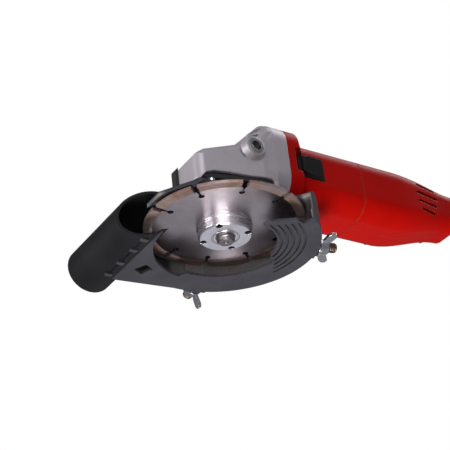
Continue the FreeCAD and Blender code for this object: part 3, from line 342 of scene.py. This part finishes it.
def zinc(name="zinc", tint=(0.80, 0.81, 0.86), rough0=0.12, rough1=0.24, turned=False, metallic=1.0):
    t = Tree(name)
    blot = t.noise(140.0, 4.0, 0.6)
    fine = t.noise(1600.0, 3.0, 0.6)
    col = t.ramp(blot, [(0.3, tuple(c * 0.84 for c in tint)), (0.7, tint)])
    col = t.mix(t.remap(fine, 0.5, 0.8, 0.0, 0.35), col, tuple(c * 0.62 for c in tint))
    rd = t.round_edges(0.0005)
    if turned:
        r, a, z = t.polar()
        rings = t.noise(1.0, 4.0, 0.65, vec=t.combine(t.math("MULTIPLY", r, 4200.0), t.math("MULTIPLY", a, 1.5), t.math("MULTIPLY", z, 900.0)))
        nrm = t.bump(rings, 0.22, 0.00006, rd)
        rough = t.remap(rings, 0.3, 0.7, rough0, rough1)
        tan = t.node("ShaderNodeTangent", direction_type="RADIAL", axis="Z").outputs[0]
        t.set(Anisotropic=0.5, Anisotropic_Rotation=0.25, Tangent=tan)
        # painted shade: inside the nut face (r under 20 mm, above z 2.2 mm) the colour goes blue-black and rough
        recess_painted_shade = t.math("MULTIPLY", t.remap(z, 0.0022, 0.0036, 0.0, 1.0), t.remap(r, 0.0200, 0.0202, 1.0, 0.0), clamp=True)
        col = t.mix(recess_painted_shade, col, (0.012, 0.014, 0.03))
        rough = t.math("MAXIMUM", rough, t.math("MULTIPLY", recess_painted_shade, 0.7))
    else:
        nrm = t.bump(t.noise(420.0, 4.0, 0.6), 0.10, 0.00025, rd)
        rough = t.remap(fine, 0.3, 0.7, rough0, rough1)
    t.set(Base_Color=col, Roughness=rough, Normal=nrm, Metallic=metallic)
    return t.mat


def steel(name, lo=(0.30, 0.28, 0.27), hi=(0.52, 0.50, 0.48), rough0=0.26, rough1=0.42, bump=0.12, rust=0.0):
    t = Tree(name)
    blot = t.noise(120.0, 5.0, 0.6)
    fine = t.noise(2000.0, 4.0, 0.65)
    col = t.ramp(blot, [(0.3, lo), (0.7, hi)])
    if rust:
        col = t.mix(t.remap(t.noise(260.0, 6.0, 0.7), 0.45, 0.68, 0.0, rust), col, (0.20, 0.10, 0.06))
    rd = t.round_edges(0.0004)
    col = t.mix(t.math("MULTIPLY", t.edge_mask(rd, 1.5), 0.5), col, (0.72, 0.70, 0.68))
    t.set(Base_Color=col, Roughness=t.remap(fine, 0.3, 0.7, rough0, rough1), Normal=t.bump(fine, bump, 0.0001, rd), Metallic=1.0)
    return t.mat


def moulded(name, lo, hi, rough0, rough1, grain=1100.0, bump=0.22, edge=(0.20, 0.19, 0.21), edge_amount=0.4, dust=0.0,
            radius=0.0008, spec=0.5):
    t = Tree(name)
    big = t.noise(26.0, 4.0, 0.55)
    g = t.noise(grain, 3.0, 0.6)
    v = t.voronoi(grain * 1.1)
    col = t.ramp(big, [(0.3, lo), (0.7, hi)])
    rd = t.round_edges(radius)
    em = t.edge_mask(rd, 2.0)
    col = t.mix(t.math("MULTIPLY", em, edge_amount), col, edge)
    if dust:
        d = t.math("MULTIPLY", t.remap(t.noise(55.0, 6.0, 0.7), 0.45, 0.75, 0.0, dust), t.remap(g, 0.35, 0.6, 0.4, 1.0), clamp=True)
        col = t.mix(d, col, (0.30, 0.27, 0.25))
    rough = t.remap(t.mix(0.4, g, big), 0.3, 0.7, rough0, rough1)
    nrm = t.bump(t.mix(0.5, g, v), bump, 0.0002, rd)
    t.set(Base_Color=col, Roughness=rough, Normal=nrm, Specular_IOR_Level=spec)
    return t


def shroud_plastic():
    t = moulded("shroud_plastic", (0.029, 0.028, 0.036), (0.041, 0.039, 0.049), 0.46, 0.62, grain=1300.0, bump=0.25,
                edge=(0.10, 0.095, 0.11), edge_amount=0.5, dust=0.07, spec=0.35)
    # stone dust settled on the inner wall of the shroud, made pale enough to also stand in for light falling on the
    # wall through the window (painted light)
    r, a, z = t.polar()
    inside = t.math("MULTIPLY", t.remap(r, 0.0700, 0.0688, 0.0, 1.0), t.remap(r, 0.0618, 0.0640, 0.0, 1.0))
    span = t.math("MULTIPLY", t.remap(z, ZS - 0.0158, ZS - 0.013, 0.0, 1.0), t.remap(z, ZS + 0.0085, ZS + 0.0060, 0.0, 1.0))
    patch = t.remap(t.noise(48.0, 6.0, 0.65), 0.28, 0.58, 0.65, 1.0)
    m = t.math("MULTIPLY", t.math("MULTIPLY", inside, span), patch, clamp=True)
    old = t.bsdf.inputs["Base Color"].links[0].from_socket
    dust_and_painted_light = t.ramp(t.noise(700.0, 5.0, 0.7), [(0.3, (0.26, 0.24, 0.23)), (0.7, (0.40, 0.37, 0.36))])
    t.set(Base_Color=t.mix(m, old, dust_and_painted_light))
    return t.mat


def copper():
    t = Tree("copper")
    wire = t.noise(1.0, 2.0, 0.5, vec=t.node("ShaderNodeMapping", {0: t.obj, 3: (160.0, 1800.0, 1800.0)}).outputs[0])
    col = t.ramp(wire, [(0.3, (0.42, 0.17, 0.07)), (0.7, (0.80, 0.42, 0.22))])
    t.set(Base_Color=col, Roughness=t.remap(wire, 0.3, 0.7, 0.25, 0.45), Metallic=1.0, Normal=t.bump(wire, 0.5, 0.0003))
    return t.mat


def lamination():
    t = Tree("lamination")
    x, y, z = t.xyz()
    w = t.math("SINE", t.math("MULTIPLY", x, 12566.0))
    n = t.noise(500.0, 4.0, 0.6)
    col = t.ramp(n, [(0.3, (0.14, 0.14, 0.15)), (0.7, (0.30, 0.30, 0.32))])
    t.set(Base_Color=col, Roughness=t.remap(n, 0.3, 0.7, 0.35, 0.55), Metallic=0.9,
          Normal=t.bump(t.remap(w, -1.0, 1.0, 0.0, 1.0), 0.4, 0.0002))
    return t.mat


def bronze():
    t = Tree("bushing_bronze")
    n = t.noise(900.0, 5.0, 0.7)
    col = t.ramp(n, [(0.3, (0.38, 0.22, 0.09)), (0.7, (0.62, 0.42, 0.20))])
    t.set(Base_Color=col, Roughness=t.remap(n, 0.3, 0.7, 0.3, 0.5), Metallic=1.0, Normal=t.bump(n, 0.25, 0.0001, t.round_edges(0.0003)))
    return t.mat


MATS = {
    "red_housing": red_plastic(),
    "cast_alloy": cast_alloy(),
    "shroud_plastic": shroud_plastic(),
    "black_plastic": moulded("black_plastic", (0.014, 0.014, 0.016), (0.022, 0.021, 0.024), 0.34, 0.50, grain=1500.0,
                             bump=0.12, edge=(0.07, 0.068, 0.075), edge_amount=0.5).mat,
    "tube_plastic": moulded("tube_plastic", (0.007, 0.0065, 0.0075), (0.011, 0.0105, 0.012), 0.44, 0.60, grain=1500.0,
                            bump=0.20, edge=(0.03, 0.028, 0.032), edge_amount=0.3, dust=0.01, spec=0.16).mat,
    "switch_plastic": moulded("switch_plastic", (0.006, 0.006, 0.007), (0.010, 0.010, 0.011), 0.22, 0.34, grain=1700.0,
                              bump=0.10, edge=(0.07, 0.075, 0.08), edge_amount=0.5, spec=0.22).mat,
    "steel": steel("steel"),
    "insert_steel": steel("insert_steel", (0.50, 0.49, 0.49), (0.70, 0.69, 0.70), 0.12, 0.24, 0.08),
    "dark_steel": steel("dark_steel", (0.12, 0.085, 0.07), (0.25, 0.19, 0.165), 0.30, 0.46, 0.25, rust=0.5),
    "spindle_steel": steel("spindle_steel", (0.22, 0.19, 0.19), (0.38, 0.34, 0.36), 0.26, 0.42, 0.2, rust=0.35),
    "zinc": zinc(),
    "nut_zinc": zinc("nut_zinc", (0.98, 0.94, 1.0), 0.20, 0.32, turned=True),
    "blade_steel": blade_steel(),
    "diamond_segment": diamond(),
    "copper": copper(),
    "lamination": lamination(),
    "bushing_bronze": bronze(),
    "rubber": moulded("rubber", (0.012, 0.012, 0.013), (0.020, 0.020, 0.021), 0.55, 0.75, grain=1500.0, bump=0.3,
                      edge=(0.05, 0.05, 0.052), edge_amount=0.4).mat,
    "carbon": moulded("carbon", (0.016, 0.016, 0.017), (0.035, 0.035, 0.036), 0.40, 0.60, grain=2200.0, bump=0.2).mat,
}
SLOT = {s["node"]: s["material_slot"] for s in frame["record"]["subparts"]}
SPECIAL = {"dust_tube": "tube_plastic", "lock_nut": "nut_zinc", "spindle": "spindle_steel", "handle_inserts": "insert_steel",
           "switch_slider": "switch_plastic",
           # painted shade: the bearing flange gets black plastic so its underside reads as the shadow under the gear
           # case
           "bearing_flange": "black_plastic"}
for name, ob in NODES.items():
    m = MATS[SPECIAL.get(name, SLOT[name])]
    ob.data.materials.clear()
    ob.data.materials.append(m)


# ----------------------------------------------------------------------------
# pieces
# ----------------------------------------------------------------------------
def new_piece(name, bm, body, mat, smooth=None):
    me = bpy.data.meshes.new(name)
    bmesh.ops.recalc_face_normals(bm, faces=bm.faces)
    bm.to_mesh(me)
    bm.free()
    me.materials.append(MATS[mat])
    ob = bpy.data.objects.new(name, me)
    SC.collection.objects.link(ob)
    if smooth is not None:
        for p in me.polygons:
            p.use_smooth = True
        me.set_sharp_from_angle(angle=math.radians(smooth))
    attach(ob, body)
    return ob


def threaded(bm, r, depth, pitch, s0, s1, tail, frame_m, seg=56, per=8, tip=1.2, hole=(0.0, 0.0)):
    """Threaded rod from s0 (free tip) to s1, then a plain profile [(s, r), ...]; millimetres along the axis of frame_m."""
    rings = []
    n = max(2, int(round((s1 - s0) / pitch * per)))
    if hole[0]:
        rings.append([(s0 + hole[1], 0.0)] )
        rings.append([(s0 + hole[1], hole[0] * 0.25)] * seg)
        rings.append([(s0, hole[0])] * seg)
    else:
        rings.append([(s0, 0.0)])
    for j in range(n + 1):
        s = s0 + (s1 - s0) * j / n
        ring = []
        for i in range(seg):
            ph = (s / pitch - i / seg) % 1.0
            tri = abs(2.0 * ph - 1.0)
            d = depth * min(1.0, max(0.0, (tri - 0.12) / 0.76))
            fade = min(1.0, max(0.0, (s1 - s) / pitch))
            rr = r - d * fade
            rr = min(rr, r - tip + (s - s0) * 0.9)
            ring.append((s, rr))
        rings.append(ring)
    for s, rr in tail:
        rings.append([(s, rr)] * seg)
    rings.append([(tail[-1][0], 0.0)] if tail else [(s1, 0.0)])
    vs = []
    for ring in rings:
        row = []
        for i, (s, rr) in enumerate(ring):
            a = 2 * math.pi * i / seg
            row.append(bm.verts.new(frame_m @ Vector((rr * math.cos(a), rr * math.sin(a), s)) * 0.001))
        vs.append(row)
    for a, b in zip(vs, vs[1:]):
        for i in range(seg):
            j = (i + 1) % seg
            if len(a) == 1 and len(b) == 1:
                continue
            if len(a) == 1:
                bm.faces.new((a[0], b[i], b[j]))
            elif len(b) == 1:
                bm.faces.new((a[i], b[0], a[j]))
            else:
                bm.faces.new((a[i], b[i], b[j], a[j]))


# spindle with a real M14 thread on its exposed end
bm = bmesh.new()
fm = Matrix.Translation((0, 0, 12.0))
threaded(bm, 7.0, 0.95, 2.0, -14.5, -9.2,
         [(-9.0, 7.0), (6.0, 7.0), (6.0, 9.5), (14.0, 9.5), (14.0, 8.5), (15.0, 8.5), (15.0, 6.0), (47.0, 6.0), (47.0, 5.0),
          (48.5, 5.0), (49.0, 4.0), (56.5, 4.0)], fm, seg=64, per=10, tip=1.6, hole=(1.9, 1.5))
sp = new_piece("spindle_threaded", bm, "spindle_assembly", "spindle_steel", smooth=35)
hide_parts("spindle")

# studs of the wing nuts with their threads
bm = bmesh.new()
for ang in (-15.0, 79.0):
    a = math.radians(ang)
    out_dir = Vector((math.cos(a), math.sin(a), 0))
    side = Vector((-math.sin(a), math.cos(a), 0))
    # local z runs inwards from the free end
    rot = Matrix((side, Vector((0, 0, 1)), -out_dir)).transposed().to_4x4()
    fm = Matrix.Translation((0, 0, -1.0)) @ rot
    threaded(bm, 4.0, 0.62, 1.25, -88.0, -72.0, [(-71.8, 4.0), (-67.2, 4.0)], fm, seg=40, per=8, tip=1.0)
st = new_piece("studs_threaded", bm, "shroud", "dark_steel", smooth=35)
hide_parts("shroud_studs")

# pale floor, far below the hand-held tool
bm = bmesh.new()
bmesh.ops.create_grid(bm, x_segments=1, y_segments=1, size=6.0)
me = bpy.data.meshes.new("floor")
bm.to_mesh(me)
bm.free()
t = Tree("floor_pale")
n = t.noise(3.0, 3.0, 0.5)
pale = t.ramp(n, [(0.3, (0.80, 0.80, 0.80)), (0.7, (0.84, 0.84, 0.84))])
seen = t.math("MULTIPLY", t.node("ShaderNodeLightPath").outputs["Is Camera Ray"], 0.75)
t.set(Base_Color=pale, Roughness=0.9, Emission_Color=pale, Emission_Strength=seen)
me.materials.append(t.mat)
floor = bpy.data.objects.new("floor", me)
floor.location = (0, 0, -1.6)
SC.collection.objects.link(floor)
